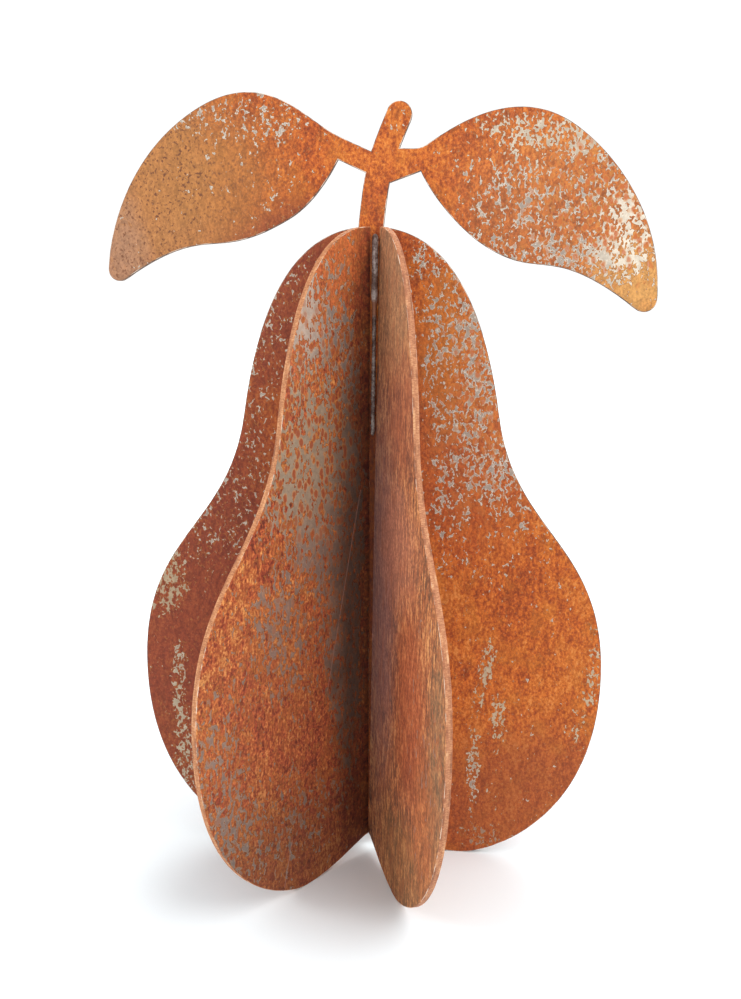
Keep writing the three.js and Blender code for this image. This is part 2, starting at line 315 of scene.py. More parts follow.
def sheet_mesh(node, seed):
    """A fine mesh of a packed sheet, with its place on each point and its rim as the second material."""
    corners, triangles = welded(node)
    across, up, out = sheet_axes(corners, triangles)
    front = face_loop(corners, triangles, out)
    depths = corners @ out
    middle = (depths.max() + depths.min()) / 2
    half = (depths.max() - depths.min()) / 2
    flat = np.stack([front @ across, front @ up], 1)
    loop = smooth_loop(spaced(flat, 2 * EDGE_ROUND), EDGE_STEP)
    into = inward(loop)
    rows = rim_rows(half)
    inner = loop + into * rows[0][0]
    face, cells = filled(inner, inside_points(inner, SURFACE_STEP))
    count, size = len(loop), len(face)
    front_off = relief(face, seed)
    back_off = relief(face, seed + 10)
    flat_points = [face, face]
    heights = [half + front_off, -half - back_off]
    along_rim = np.arange(count) * EDGE_STEP
    for inset, height in rows[1:-1]:
        share = (height / half + 1) / 2
        rim_places = np.stack([along_rim, np.full(count, height)], 1)
        cut = CUT_HEIGHT * wander(rim_places, CUT_SPACING, seed + 5)
        flat_points.append(loop + into * (inset + cut[:, None]))
        heights.append(height + share * front_off[:count] - (1 - share) * back_off[:count])
    flat_points, heights = np.vstack(flat_points), np.concatenate(heights)
    places = flat_points[:, :1] * across + flat_points[:, 1:] * up + (middle + heights)[:, None] * out
    if node in FINS:
        along = fin_direction(node)
        reach = (places - np.array(AXIS)) @ along
        inner_edge = reach < reach.min() + 2 * EDGE_ROUND
        target = weld_reach(node, places)
        places[inner_edge] += np.outer((target - reach)[inner_edge], along)
    ring = np.arange(count)
    starts = [0, *(2 * size + k * count for k in range(len(rows) - 2)), size]
    quads = []
    for upper, lower in zip(starts, starts[1:]):
        nearer, farther = upper + ring, lower + ring
        quads.append(np.stack([nearer, farther, np.roll(farther, -1), np.roll(nearer, -1)], 1))
    faces = [*cells.tolist(), *(cells[:, ::-1] + size).tolist(), *np.vstack(quads).tolist()]
    mesh = bpy.data.meshes.new(node + "_skin")
    mesh.from_pydata(places.tolist(), [], faces)
    on_rim = np.arange(len(faces)) >= 2 * len(cells)
    mesh.polygons.foreach_set("material_index", on_rim.astype(np.int32))
    mesh.shade_smooth()
    mesh.set_sharp_from_angle(angle=SMOOTH_BELOW)
    reach = flat_points[:, 0] - np.array(AXIS) @ across
    outward = 1 if node == "main_plate" or reach.mean() > 0 else -1
    place = np.stack([reach * outward, np.sign(heights) * 0.5, places[:, 2]], 1)
    mesh.attributes.new("place", "FLOAT_VECTOR", "POINT").data.foreach_set("vector", place.ravel())
    run = np.zeros(len(places))
    for start in starts:
        run[start : start + count] = along_rim
    mesh.attributes.new("run", "FLOAT", "POINT").data.foreach_set("value", run)
    mesh.attributes.new("through", "FLOAT", "POINT").data.foreach_set("value", heights / half)
    return mesh


def place_piece(name, mesh, materials, node):
    """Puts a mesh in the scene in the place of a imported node."""
    piece = bpy.data.objects.new(name, mesh)
    bpy.context.scene.collection.objects.link(piece)
    for material in materials:
        mesh.materials.append(material)
    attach(piece, "root")
    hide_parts(node)
    return piece


# Materials

def linear(red, green, blue):
    """A colour given as it looks on a screen, 0 to 255, as the light that it stands for."""
    def channel(value):
        value /= 255
        return value / 12.92 if value <= 0.04045 else ((value + 0.055) / 1.055) ** 2.4
    return (channel(red), channel(green), channel(blue), 1)


HALVES = (0.5, 0.5, 0.5)

# How the edge of an oval fades, as shares of its reaches, and how the sides of a scratch fade
OVAL_FADE = (1.25, 0.35)
SCRATCH_FADE = (0.5 * MM, 0.15 * MM)
SCRATCH_SHARE = 0.4

# The noise values at which each mark of the rust starts and is full
PATCHES = (0.5, 0.66)
REDS = (0.52, 0.62)
DUST = (0.62, 0.74)
PITS = (0.56, 0.66)

# What the scale field is made of besides its shapes, and where it makes each part of a fleck
RING_HALF = 0.14
CLUMP_SHARE = 0.35
LEVEL_SHARE = 0.8
GRAIN_SHARE = 0.14
FRINGE = (0.96, 1.06)
# RIM is the band just outside a fleck that gets a dark rim, painted shadow of the raised scale
RIM = (1.03, 1.075)
FLECK = (1.09, 1.12)
# Across HEART a fleck goes from its pale edge, a painted highlight on the lifted scale, to its grey
# heart
HEART = (1.13, 1.22)

# How far from its middle a rust drop and its halo fade, as shares of the cell
DROP = (0.36, 0.27)
DROP_HALO = (0.48, 0.36)
HALO_SHARE = 0.7

# The height of the brown spot on the front bead, and colours
BEAD_SPOT = 296 * MM
BROWN_SPOT = linear(124, 72, 42)
LOWER_WELD = linear(132, 120, 116)
WELD_METAL = [
    (0.0, linear(70, 44, 34)),
    (0.35, linear(100, 78, 70)),
    (0.6, linear(126, 110, 106)),
    (1.0, linear(172, 160, 152)),
]
RED_RUST = linear(138, 52, 36)
# Painted shade, multiplied into the colour in ovals near the axis where the plates meet and low on the
# front left fin
PAINTED_SHADE = linear(112, 98, 92)
SCRATCH_COLOUR = linear(170, 126, 112)
# A painted highlight, laid in patches along the corners of a cut edge
PAINTED_EDGE_HIGHLIGHT = linear(228, 208, 188)
OCHRE_EDGE = [
    (0.0, linear(130, 78, 48)),
    (0.45, linear(170, 106, 70)),
    (0.75, linear(194, 132, 90)),
    (1.0, linear(214, 168, 122)),
]
SALMON_EDGE = [
    (0.0, linear(134, 80, 48)),
    (0.45, linear(172, 108, 66)),
    (0.75, linear(194, 132, 86)),
    (1.0, linear(212, 158, 114)),
]
# The main plate's cut edge: its rust darkened with painted shadow
MAIN_EDGE_PAINTED_SHADOW = [
    (0.0, linear(74, 56, 46)),
    (0.45, linear(104, 76, 60)),
    (0.75, linear(132, 96, 74)),
    (1.0, linear(160, 128, 104)),
]


class Look:
    """One material and short calls for the nodes that it is made of."""

    def __init__(self, name):
        self.material = bpy.data.materials.new(name)
        self.material.use_nodes = True
        self.tree = self.material.node_tree
        self.shader = self.tree.nodes["Principled BSDF"]

    def finish(self, name, value):
        """Gives one of the shader's inputs a value, or links it to the node that makes it."""
        if isinstance(value, bpy.types.NodeSocket):
            self.tree.links.new(value, self.shader.inputs[name])
        else:
            self.shader.inputs[name].default_value = value

    def bump(self, height, distance, strength):
        inputs = {"Height": height, "Distance": distance, "Strength": strength}
        self.finish("Normal", self.node("Bump", inputs).outputs["Normal"])

    def node(self, kind, inputs, **settings):
        node = self.tree.nodes.new("ShaderNode" + kind)
        for name, value in settings.items():
            setattr(node, name, value)
        for name, value in inputs.items():
            if isinstance(value, bpy.types.NodeSocket):
                self.tree.links.new(value, node.inputs[name])
            elif value is not None:
                node.inputs[name].default_value = value
        return node

    def attribute(self, name, output="Vector"):
        return self.node("Attribute", {}, attribute_name=name).outputs[output]

    def math(self, operation, a, b=None, c=None):
        return self.node("Math", {0: a, 1: b, 2: c}, operation=operation).outputs[0]

    def times(self, a, b):
        return self.math("MULTIPLY", a, b)

    def vector(self, operation, a, b=None):
        node = self.node("VectorMath", {0: a, 1: b}, operation=operation)
        return node.outputs["Value" if operation in ("LENGTH", "DOT_PRODUCT") else "Vector"]

    def part(self, vector, axis):
        """A vector's part along an axis: 0 for X, 1 for Y, 2 for Z."""
        return self.node("SeparateXYZ", {0: vector}).outputs[axis]

    def noise(self, vector, size, detail=3, roughness=0.5, stretch=(1, 1, 1), shift=0.0):
        """Noise from 0 to 1 with blots of about a size, longer along an axis where stretch is over 1.

        Another shift gives another noise.
        """
        scaled = self.vector("MULTIPLY", vector, [1 / (size * s) for s in stretch])
        moved = self.vector("ADD", scaled, (shift, 2.7 * shift, 5.1 * shift))
        inputs = {"Vector": moved, "Scale": 1, "Detail": detail, "Roughness": roughness}
        return self.node("TexNoise", inputs).outputs["Fac"]

    def cells(self, vector, size, stretch=(1, 1, 1), shift=0.0):
        """How far a place is from the nearest of many scattered points, with cells of about a size."""
        scaled = self.vector("MULTIPLY", vector, [1 / (size * s) for s in stretch])
        moved = self.vector("ADD", scaled, (shift, 1.9 * shift, 4.3 * shift))
        return self.node("TexVoronoi", {"Vector": moved, "Scale": 1}).outputs["Distance"]

    def warp(self, vector, size, reach):
        """A place moved about a little by noise, by up to half the reach each way."""
        inputs = {"Vector": vector, "Scale": 1 / size, "Detail": 3}
        drift = self.node("TexNoise", inputs).outputs["Color"]
        off_middle = self.vector("SUBTRACT", drift, HALVES)
        return self.vector("ADD", vector, self.vector("MULTIPLY", off_middle, reach))

    def grey(self, value):
        return self.node("CombineColor", {0: value, 1: value, 2: value}).outputs[0]

    def total(self, *parts):
        """The sum of several values, each given with its share."""
        whole = None
        for value, share in parts:
            part = self.times(value, share)
            whole = part if whole is None else self.math("ADD", whole, part)
        return whole

    def between(self, value, low, high, bottom=0.0, top=1.0):
        """Value taken from low..high to bottom..top, with soft ends."""
        inputs = {"Value": value, "From Min": low, "From Max": high, "To Min": bottom, "To Max": top}
        return self.node("MapRange", inputs, interpolation_type="SMOOTHSTEP").outputs["Result"]

    def mix(self, share, a, b, kind="MIX"):
        inputs = {0: share, 6: a, 7: b}
        return self.node("Mix", inputs, data_type="RGBA", blend_type=kind, clamp_result=False).outputs[2]

    def shaded(self, colour, value):
        """A colour times a number."""
        return self.mix(1.0, colour, self.grey(value), "MULTIPLY")

    def ramp(self, value, stops):
        node = self.node("ValToRGB", {"Fac": value})
        elements = node.color_ramp.elements
        while len(elements) < len(stops):
            elements.new(0.5)
        for element, (position, colour) in zip(elements, stops):
            element.position = position
            element.color = colour
        return node.outputs["Color"]


def spot(look, place, x, z, reach_x, reach_z):
    """One at the middle of an oval of the sheet and nothing outside it, in millimetres."""
    from_middle = look.vector("SUBTRACT", place, (x * MM, 0, z * MM))
    share = look.vector("MULTIPLY", from_middle, (1 / (reach_x * MM), 0, 1 / (reach_z * MM)))
    return look.between(look.vector("LENGTH", share), *OVAL_FADE)


def zone_sum(look, place, base, spots):
    """A base amount, with more or less of it in each of a few ovals."""
    total = base
    for *oval, amount in spots:
        total = look.math("ADD", look.times(spot(look, place, *oval), amount), total)
    return total


def tinted(look, colour, place, ovals):
    """A colour with others mixed in, each in an oval of the sheet."""
    for *oval, tint, share in ovals:
        colour = look.mix(look.times(spot(look, place, *oval), share), colour, tint)
    return colour


def scratch(look, place, start, end):
    """One along a thin scratch on a sheet's front, between two places given as x and height in mm."""
    run = Vector((end[0] - start[0], 0, end[1] - start[1])) * MM
    along = run.normalized()
    beside = Vector((along.z, 0, -along.x))
    from_start = look.vector("SUBTRACT", place, (start[0] * MM, 0, start[1] * MM))
    off = look.math("ABSOLUTE", look.vector("DOT_PRODUCT", from_start, beside))
    reached = look.math("DIVIDE", look.vector("DOT_PRODUCT", from_start, along), run.length)
    within = look.math("COMPARE", reached, 0.5, 0.5)
    on_front = look.math("GREATER_THAN", look.part(place, 1), 0.0)
    return look.times(look.times(look.between(off, *SCRATCH_FADE), within), on_front)


def rust_marks(look, style, place):
    """Slow changes, blotches, upright streaks and fine grain, each a noise from 0 to 1."""
    shift = style["shift"]
    upright = (1, 1, style["streak_stretch"])
    slow = look.noise(place, 40 * MM, 3, 0.5, (1, 1, 1.4), shift)
    blotch = look.noise(place, 6 * MM, 4, 0.6, (1, 1, 1.4), shift + 3)
    streak = look.noise(place, style["streak_width"] * MM, 3, 0.6, upright, shift + 5)
    grain = look.noise(place, style["grain_size"] * MM, 3, 0.65, (1, 1, 1.3), shift + 8)
    return slow, blotch, streak, grain


def rust_colour(look, style, place, warped, marks):
    """The rust itself: mottled, with ochre and red patches, tints in ovals, grain, dust and pits."""
    shift = style["shift"]
    _, _, streak, grain = marks
    tone = look.total(*zip(marks, style["mottle"]))
    rust = look.ramp(look.between(tone, *style["span"]), style["rust"])
    patch = look.noise(place, 15 * MM, 4, 0.6, (1, 1, 1.3), shift + 25)
    rust = look.mix(look.between(patch, *PATCHES, 0, style["patches"]), rust, style["patch_colour"])
    red = look.noise(place, 4.5 * MM, 4, 0.65, (1, 1, 1.5), shift + 41)
    rust = look.mix(look.between(red, *REDS, 0, style["reds"]), rust, RED_RUST)
    rust = tinted(look, rust, warped, style["tints"])
    fine = look.total((grain, 0.6), (streak, 0.4))
    rust = look.shaded(rust, look.between(fine, 0.34, 0.66, *style["grain"]))
    pale = look.noise(place, 1.1 * MM, 2, 0.6, shift=shift + 21)
    rust = look.mix(look.between(pale, *DUST, 0, style["dust"]), rust, style["dust_colour"])
    pits = look.noise(place, 1.25 * MM, 2, 0.6, (1, 1, 1.2), shift + 31)
    pitted = look.times(look.between(pits, *PITS), zone_sum(look, warped, *style["pits"]))
    return look.mix(pitted, rust, style["pit_colour"])


def scale_field(look, style, place, nearby, grain):
    """How well mill scale holds at each place: best between cells of rust, in clumps and in zones."""
    shift = style["shift"]
    size = style["fleck_size"] * MM
    stretch = (1, 1, style["fleck_stretch"])
    wide = look.cells(nearby, size, stretch, shift + 11)
    narrow = look.cells(nearby, 0.5 * size, stretch, shift + 13)
    wave = look.noise(nearby, 0.9 * size, 2, 0.5, stretch, shift + 19)
    off_middle = look.math("ABSOLUTE", look.math("SUBTRACT", wave, 0.5))
    ring = look.between(off_middle, RING_HALF, 0.0)
    shapes = look.total(*zip((wide, narrow, ring), style["shapes"]))
    clump = look.noise(place, 5.5 * MM, 3, 0.6, (1, 1, 2), shift + 17)
    drifted = look.warp(place, 12 * MM, (7 * MM, 0, 10 * MM))
    zones = zone_sum(look, drifted, style["scale_level"], style["scale_spots"])
    level = look.math("MINIMUM", zones, style["most_scale"])
    parts = (shapes, 1.0), (clump, CLUMP_SHARE), (level, LEVEL_SHARE), (grain, GRAIN_SHARE)
    return look.total(*parts)


def with_scale(look, style, place, warped, field, fleck, rust):
    """Rust with mill scale flecks, each with an ochre fringe, a painted shadow rim and a painted
    highlight edge.
    """
    # Each fleck is pale at its edge, a painted highlight where the scale lifts, and greyer towards its
    # heart
    scale = look.mix(look.between(field, *HEART), style["scale_edge_highlight"], style["scale_heart"])
    scale = tinted(look, scale, warped, style["scale_tints"])
    tint = look.noise(place, 2.5 * MM, 3, 0.6, shift=style["shift"] + 15)
    scale = look.shaded(scale, look.between(tint, 0.3, 0.7, 0.82, 1.1))
    fringe = look.times(look.between(field, *FRINGE), style["fringe"])
    # A thin dark rim just outside each fleck, painted shadow of the raised scale
    rim = look.times(look.math("SUBTRACT", look.between(field, *RIM), fleck), style["rim"])
    colour = look.mix(fringe, rust, style["fringe_colour"])
    colour = look.mix(rim, colour, style["rim_shadow_colour"])
    return look.mix(look.times(fleck, style["scale_cover"]), colour, scale)


def with_drops(look, style, warped, nearby, colour):
    """A colour with round rust drops on it, each in an ochre halo."""
    stretch = (1, 1, style["fleck_stretch"])
    spread = look.math("MINIMUM", zone_sum(look, warped, *style["drops"]), 1.0)
    away = look.cells(nearby, style["drop_size"] * MM, stretch, style["shift"] + 37)
    halo = look.times(look.between(away, *DROP_HALO, 0, HALO_SHARE), spread)
    colour = look.mix(halo, colour, style["fringe_colour"])
    drop = look.times(look.between(away, *DROP), spread)
    return look.mix(drop, colour, style["drop_colour"])


def sheet_look(name, style):
    """Rust in several reds and oranges, with flecks of mill scale that round rust drops eat away."""
    look = Look(name)
    place = look.attribute("place")
    warped = look.warp(place, 18 * MM, (16 * MM, 0, 24 * MM))
    nearby = look.warp(place, 2.2 * MM, (2 * MM, 0, 2 * MM))
    marks = rust_marks(look, style, place)
    _, blotch, _, grain = marks
    field = scale_field(look, style, place, nearby, grain)
    fleck = look.between(field, *FLECK)
    colour = rust_colour(look, style, place, warped, marks)
    colour = with_scale(look, style, place, warped, field, fleck, colour)
    colour = with_drops(look, style, warped, nearby, colour)
    # Painted shade: the colour darkened in ovals near the axis, where the plates meet, and low down
    for *oval, share in style["painted_shades"]:
        amount = look.times(spot(look, warped, *oval), share)
        colour = look.mix(amount, colour, PAINTED_SHADE, "MULTIPLY")
    for start, end in style["scratches"]:
        amount = look.times(scratch(look, place, start, end), SCRATCH_SHARE)
        colour = look.mix(amount, colour, SCRATCH_COLOUR)
    look.finish("Base Color", colour)

    # scale is smoother and a little glossier than rust
    rough = look.between(grain, 0.25, 0.75, 0.82, 0.95)
    look.finish("Roughness", look.math("SUBTRACT", rough, look.times(fleck, 0.22)))
    look.finish("Specular IOR Level", 0.3)
    look.bump(look.total((blotch, 0.4), (grain, 0.45), (fleck, 0.45)), 0.35 * MM, 0.6)
    return look.material


def edge_look(name, shift, stops):
    """A cut edge: thin rust over fine marks that run through the sheet's thickness, with patches of
    painted highlight along its corners.
    """
    look = Look(name)
    place = look.attribute("place")
    run = look.attribute("run", "Fac")
    through = look.attribute("through", "Fac")
    rim_place = look.node("CombineXYZ", {0: run, 1: look.times(through, 0.4 * MM)}).outputs[0]
    marks = look.noise(rim_place, 0.5 * MM, 3, 0.6, shift=shift)
    blotch = look.noise(place, 9 * MM, 4, 0.6, shift=shift + 2)
    tone = look.total((marks, 0.4), (blotch, 0.6))
    colour = look.ramp(look.between(tone, 0.33, 0.67), stops)
    corner = look.between(look.math("ABSOLUTE", through), 0.93, 0.99)
    # Patches of painted highlight along the corners of the cut edge
    highlight_patches = look.between(look.noise(place, 6 * MM, 3, 0.6, shift=shift + 4), 0.45, 0.6)
    look.finish("Base Color", look.mix(look.times(corner, highlight_patches), colour, PAINTED_EDGE_HIGHLIGHT))
    look.finish("Roughness", 0.7)
    look.bump(marks, 0.15 * MM, 0.5)
    return look.material


def bead_look():
    """Weld metal: dull grey with brown blotches, darker below a brown spot."""
    look = Look("weld_metal")
    place = look.node("TexCoord", {}).outputs["Object"]
    blotch = look.noise(place, 6 * MM, 4, 0.6)
    grain = look.noise(place, 0.9 * MM, 3, 0.65, shift=4)
    tone = look.total((blotch, 0.6), (grain, 0.4))
    colour = look.ramp(look.between(tone, 0.36, 0.64), WELD_METAL)
    height = look.part(place, 2)
    lower = look.between(height, BEAD_SPOT + 4 * MM, BEAD_SPOT, 0, 0.5)
    colour = look.mix(lower, colour, LOWER_WELD, "MULTIPLY")
    off_spot = look.math("ABSOLUTE", look.math("SUBTRACT", height, BEAD_SPOT))
    colour = look.mix(look.between(off_spot, 5 * MM, 2.5 * MM, 0, 0.85), colour, BROWN_SPOT)
    look.finish("Base Color", colour)
    look.finish("Metallic", 0.1)
    look.finish("Roughness", look.between(grain, 0.3, 0.7, 0.42, 0.7))
    look.bump(grain, 0.2 * MM, 0.6)
    return look.material


# The styles of the plates, with sizes in millimetres. An oval is its middle's place along the sheet
# from the axis, its middle's height and its two reaches, and then what it brings.

ORANGE_RUST = [
    (0.0, linear(136, 62, 35)),
    (0.3, linear(163, 77, 37)),
    (0.6, linear(184, 93, 40)),
    (0.85, linear(198, 110, 45)),
    (1.0, linear(202, 126, 64)),
]
FIN_RUST = [
    (0.0, linear(116, 52, 38)),
    (0.3, linear(148, 68, 44)),
    (0.6, linear(170, 84, 48)),
    (0.85, linear(188, 102, 52)),
    (1.0, linear(204, 138, 78)),
]
BROWN_RUST = [
    (0.0, linear(108, 74, 56)),
    (0.35, linear(148, 99, 70)),
    (0.65, linear(182, 110, 68)),
    (1.0, linear(210, 150, 96)),
]
MAIN_STYLE = {
    "shift": 0.0,
    "streak_stretch": 3,
    "streak_width": 2.2,
    "grain_size": 1.15,
    "mottle": (0.28, 0.2, 0.14, 0.38),
    "span": (0.36, 0.63),
    "rust": ORANGE_RUST,
    "patches": 0.4,
    "patch_colour": linear(186, 110, 44),
    "reds": 0.12,
    "grain": (0.76, 1.18),
    "dust": 0.25,
    "dust_colour": linear(204, 152, 112),
    "tints": [
        # The next three tints make the left half maroon: partly darker rust, partly painted shadow that
        # the front left fin casts on it
        (-95, 130, 74, 250, linear(126, 61, 48), 0.8),
        (-48, 300, 36, 52, linear(128, 62, 48), 0.8),
        (-32, 330, 22, 22, linear(128, 60, 44), 0.8),
        (-112, 350, 52, 60, linear(171, 121, 76), 0.75),
        (-80, 360, 44, 40, linear(172, 114, 60), 0.5),
        (-128, 318, 16, 34, linear(162, 120, 94), 0.8),
        (130, 310, 26, 24, linear(206, 154, 90), 0.85),
        (95, 345, 60, 50, linear(186, 122, 76), 0.35),
        (92, 30, 80, 52, linear(148, 76, 46), 0.65),
        (50, 250, 40, 70, linear(176, 104, 70), 0.3),
        (80, 225, 10, 34, linear(140, 66, 50), 0.6),
        (36, 275, 14, 46, linear(192, 112, 42), 0.5),
        (50, 195, 40, 36, linear(176, 84, 40), 0.4),
    ],
    "pits": (0.12, [(-120, 345, 50, 60, 0.75), (-80, 365, 50, 40, 0.4), (120, 345, 44, 60, 0.3)]),
    "pit_colour": linear(112, 70, 50),
    "drops": (0.0, [(118, 345, 44, 44, 0.8), (62, 262, 30, 80, 0.7)]),
    "drop_size": 3.6,
    "drop_colour": linear(184, 96, 52),
    "shapes": (0.4, 0.45, 0.2),
    "scale_tints": [
        (130, 330, 22, 34, linear(228, 216, 196), 0.8),
        (64, 10, 30, 16, linear(150, 116, 92), 0.8),
        (80, 380, 50, 20, linear(206, 192, 166), 0.5),
        (-110, 150, 16, 36, linear(174, 152, 120), 0.85),
        (-104, 70, 12, 60, linear(184, 168, 140), 0.7),
        (66, 90, 16, 60, linear(190, 170, 138), 0.8),
        (116, 100, 16, 60, linear(190, 168, 134), 0.7),
    ],
    # Painted shade along the axis, where the fins meet the plate
    "painted_shades": [(0, 150, 7, 175, 0.9)],
    "scratches": [],
    "scale_level": -0.05,
    "most_scale": 0.42,
    "scale_spots": [
        (100, 350, 52, 42, 0.25),
        (128, 330, 22, 30, 0.24),
        (68, 384, 30, 12, 0.21),
        (100, 377, 32, 12, 0.17),
        (98, 318, 42, 15, 0.22),
        (58, 352, 30, 34, 0.1),
        (-66, 388, 48, 14, 0.24),
        (-48, 366, 30, 26, 0.09),
        (-88, 362, 20, 14, 0.06),
        (13, 388, 7, 16, 0.12),
        (62, 288, 24, 42, 0.24),
        (66, 235, 20, 46, 0.24),
        (42, 250, 18, 80, 0.24),
        (74, 205, 18, 26, 0.09),
        (44, 322, 28, 16, 0.16),
        (26, 300, 14, 50, 0.16),
        (60, 185, 70, 40, 0.12),
        (63, 112, 6, 18, 0.38),
        (58, 92, 5, 16, 0.22),
        (69, 78, 6, 20, 0.38),
        (57, 50, 5, 28, 0.34),
        (69, 40, 4, 24, 0.16),
        (119, 108, 7, 24, 0.3),
        (112, 78, 7, 20, 0.22),
        (126, 140, 6, 30, 0.16),
        (64, 10, 18, 9, 0.26),
        (-48, 312, 30, 40, 0.17),
        (-60, 245, 22, 60, 0.18),
        (-84, 185, 36, 34, 0.19),
        (-110, 150, 12, 26, 0.36),
        (-105, 92, 5, 30, 0.36),
        (-103, 48, 8, 34, 0.34),
    ],
    "fleck_size": 2.7,
    "fleck_stretch": 1.4,
    "scale_edge_highlight": linear(206, 196, 182),
    "scale_heart": linear(158, 147, 136),
    "scale_cover": 0.92,
    "fringe": 0.4,
    "fringe_colour": linear(196, 132, 70),
    "rim": 0.55,
    "rim_shadow_colour": linear(106, 58, 40),
}
LEFT_STYLE = {
    "shift": 20.0,
    "streak_stretch": 4,
    "streak_width": 1.6,
    "grain_size": 1.3,
    "mottle": (0.22, 0.26, 0.2, 0.32),
    "span": (0.41, 0.59),
    "rust": FIN_RUST,
    "patches": 0.35,
    "patch_colour": linear(188, 112, 50),
    "reds": 0.6,
    "grain": (0.6, 1.34),
    "dust": 0.4,
    "dust_colour": linear(208, 150, 92),
    "tints": [
        (26, 328, 24, 36, linear(198, 104, 46), 0.65),
        (90, 15, 90, 34, linear(132, 80, 58), 0.5),
        (60, 290, 20, 50, linear(176, 96, 68), 0.5),
        (40, 310, 30, 40, linear(184, 96, 56), 0.4),
        (75, 90, 70, 90, linear(150, 76, 52), 0.4),
    ],
    "pits": (0.35, [(80, 80, 70, 70, 0.25)]),
    "pit_colour": linear(104, 48, 38),
    "drops": (0.25, [(45, 235, 50, 60, 0.55)]),
    "drop_size": 3.6,
    "drop_colour": linear(142, 62, 40),
    "shapes": (0.42, 0.45, 0.15),
    "scale_tints": [
        (52, 300, 18, 40, linear(184, 168, 154), 0.8),
        (48, 225, 40, 50, linear(154, 140, 116), 0.7),
        (60, 110, 80, 90, linear(126, 102, 92), 0.75),
        # Darker scale near the axis, painted shade between the plates
        (18, 140, 26, 130, linear(108, 92, 82), 0.8),
    ],
    # Painted shade near the axis where the fins meet, low on the fin, and high up by the axis
    "painted_shades": [
        (9, 120, 24, 200, 0.68),
        (80, 10, 90, 60, 0.3),
        (0, 150, 9, 290, 0.3),
        (4, 265, 15, 70, 0.35),
    ],
    "scale_level": 0.05,
    "most_scale": 0.54,
    "scale_spots": [
        (40, 268, 38, 40, 0.3),
        (45, 212, 44, 38, 0.46),
        (30, 180, 34, 28, 0.26),
        (52, 305, 10, 28, 0.24),
        (32, 308, 24, 36, 0.18),
        (16, 200, 10, 90, 0.26),
        (20, 118, 16, 80, 0.48),
        (58, 140, 45, 50, 0.24),
        (110, 80, 22, 56, 0.26),
        (75, 40, 60, 34, 0.23),
        (74, 152, 16, 22, 0.14),
    ],
    "fleck_size": 3.0,
    "fleck_stretch": 1.8,
    "scale_edge_highlight": linear(160, 144, 128),
    "scale_heart": linear(120, 114, 110),
    "scale_cover": 0.88,
    "fringe": 0.6,
    "fringe_colour": linear(196, 126, 62),
    "rim": 0.8,
    "rim_shadow_colour": linear(104, 44, 32),
    "scratches": [((9, 204), (35, 102)), ((62, 30), (68, 6))],
}
RIGHT_STYLE = {
    "shift": 40.0,
    "streak_stretch": 4,
    "streak_width": 2.2,
    "grain_size": 1.5,
    "mottle": (0.14, 0.14, 0.46, 0.26),
    "span": (0.39, 0.6),
    "rust": BROWN_RUST,
    "patches": 0.4,
    "patch_colour": linear(178, 104, 62),
    "reds": 0.15,
    "grain": (0.7, 1.28),
    "dust": 0.2,
    "dust_colour": linear(200, 142, 104),
    "tints": [
        (35, 312, 50, 56, linear(164, 120, 86), 0.75),
        # Mauve near the axis: painted shadow that the front left fin casts on this fin
        (15, 150, 36, 120, linear(148, 104, 98), 0.8),
        (70, 108, 28, 62, linear(170, 80, 46), 0.65),
        (50, 245, 32, 36, linear(156, 86, 62), 0.6),
        (45, 182, 36, 34, linear(184, 116, 90), 0.65),
        (112, 100, 14, 80, linear(144, 112, 80), 0.55),
        (64, 22, 50, 30, linear(146, 104, 62), 0.5),
        (96, 60, 20, 40, linear(176, 100, 56), 0.5),
    ],
    "pits": (0.2, [(50, 330, 60, 60, 0.2)]),
    "pit_colour": linear(96, 62, 46),
    "drops": (0.15, []),
    "drop_size": 4.6,
    "drop_colour": linear(150, 76, 48),
    "shapes": (0.4, 0.4, 0.1),
    "scale_tints": [],
    "painted_shades": [],
    "scratches": [],
    "scale_level": 0.02,
    "most_scale": 0.3,
    "scale_spots": [(100, 120, 40, 90, 0.2), (60, 60, 60, 60, 0.12)],
    "fleck_size": 3.6,
    "fleck_stretch": 3,
    "scale_edge_highlight": linear(146, 128, 114),
    "scale_heart": linear(128, 114, 104),
    "scale_cover": 0.6,
    "fringe": 0.5,
    "fringe_colour": linear(186, 104, 60),
    "rim": 0.3,
    "rim_shadow_colour": linear(100, 56, 42),
}
REAR_STYLE = dict(LEFT_STYLE, shift=60.0, scratches=[])
STYLES = {
    "main_plate": MAIN_STYLE,
    "front_left_fin": LEFT_STYLE,
    "front_right_fin": RIGHT_STYLE,
    "rear_left_fin": REAR_STYLE,
    "rear_right_fin": REAR_STYLE,
}


def make_plates():
    edges = dict.fromkeys(PLATES, edge_look("salmon_edge", 7.0, SALMON_EDGE))
    # The main plate's cut edge is darker with painted shadow
    edges["main_plate"] = edge_look("main_edge_painted_shadow", 9.0, MAIN_EDGE_PAINTED_SHADOW)
    edges["front_right_fin"] = edge_look("ochre_edge", 11.0, OCHRE_EDGE)
    for number, (node, slot) in enumerate(PLATES.items()):
        skin = sheet_look(node + "_rust", STYLES[node])
        place_piece(node + "_sheet", sheet_mesh(node, 100 * number + 1), [skin, edges[node]], node)


# Weld beads

BEAD_SIDES = 20
BEAD_STEP = 0.45 * MM
LUMP_LENGTHS = (1.6, 3.2)
MOST_LUMPS = 200
LUMPY_SPACING = 1.1 * MM
SEAM_END = 2 * MM
END_ROUND = 1.5 * MM
LEAST_END = 0.02 * MM

# Where a bead turns smooth, as shares of its length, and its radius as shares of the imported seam's
SMOOTH_START = 0.6
SMOOTH_FADE = 0.1
VALLEY = 0.38
ON_LUMP = 0.24
ON_SMOOTH = 0.56


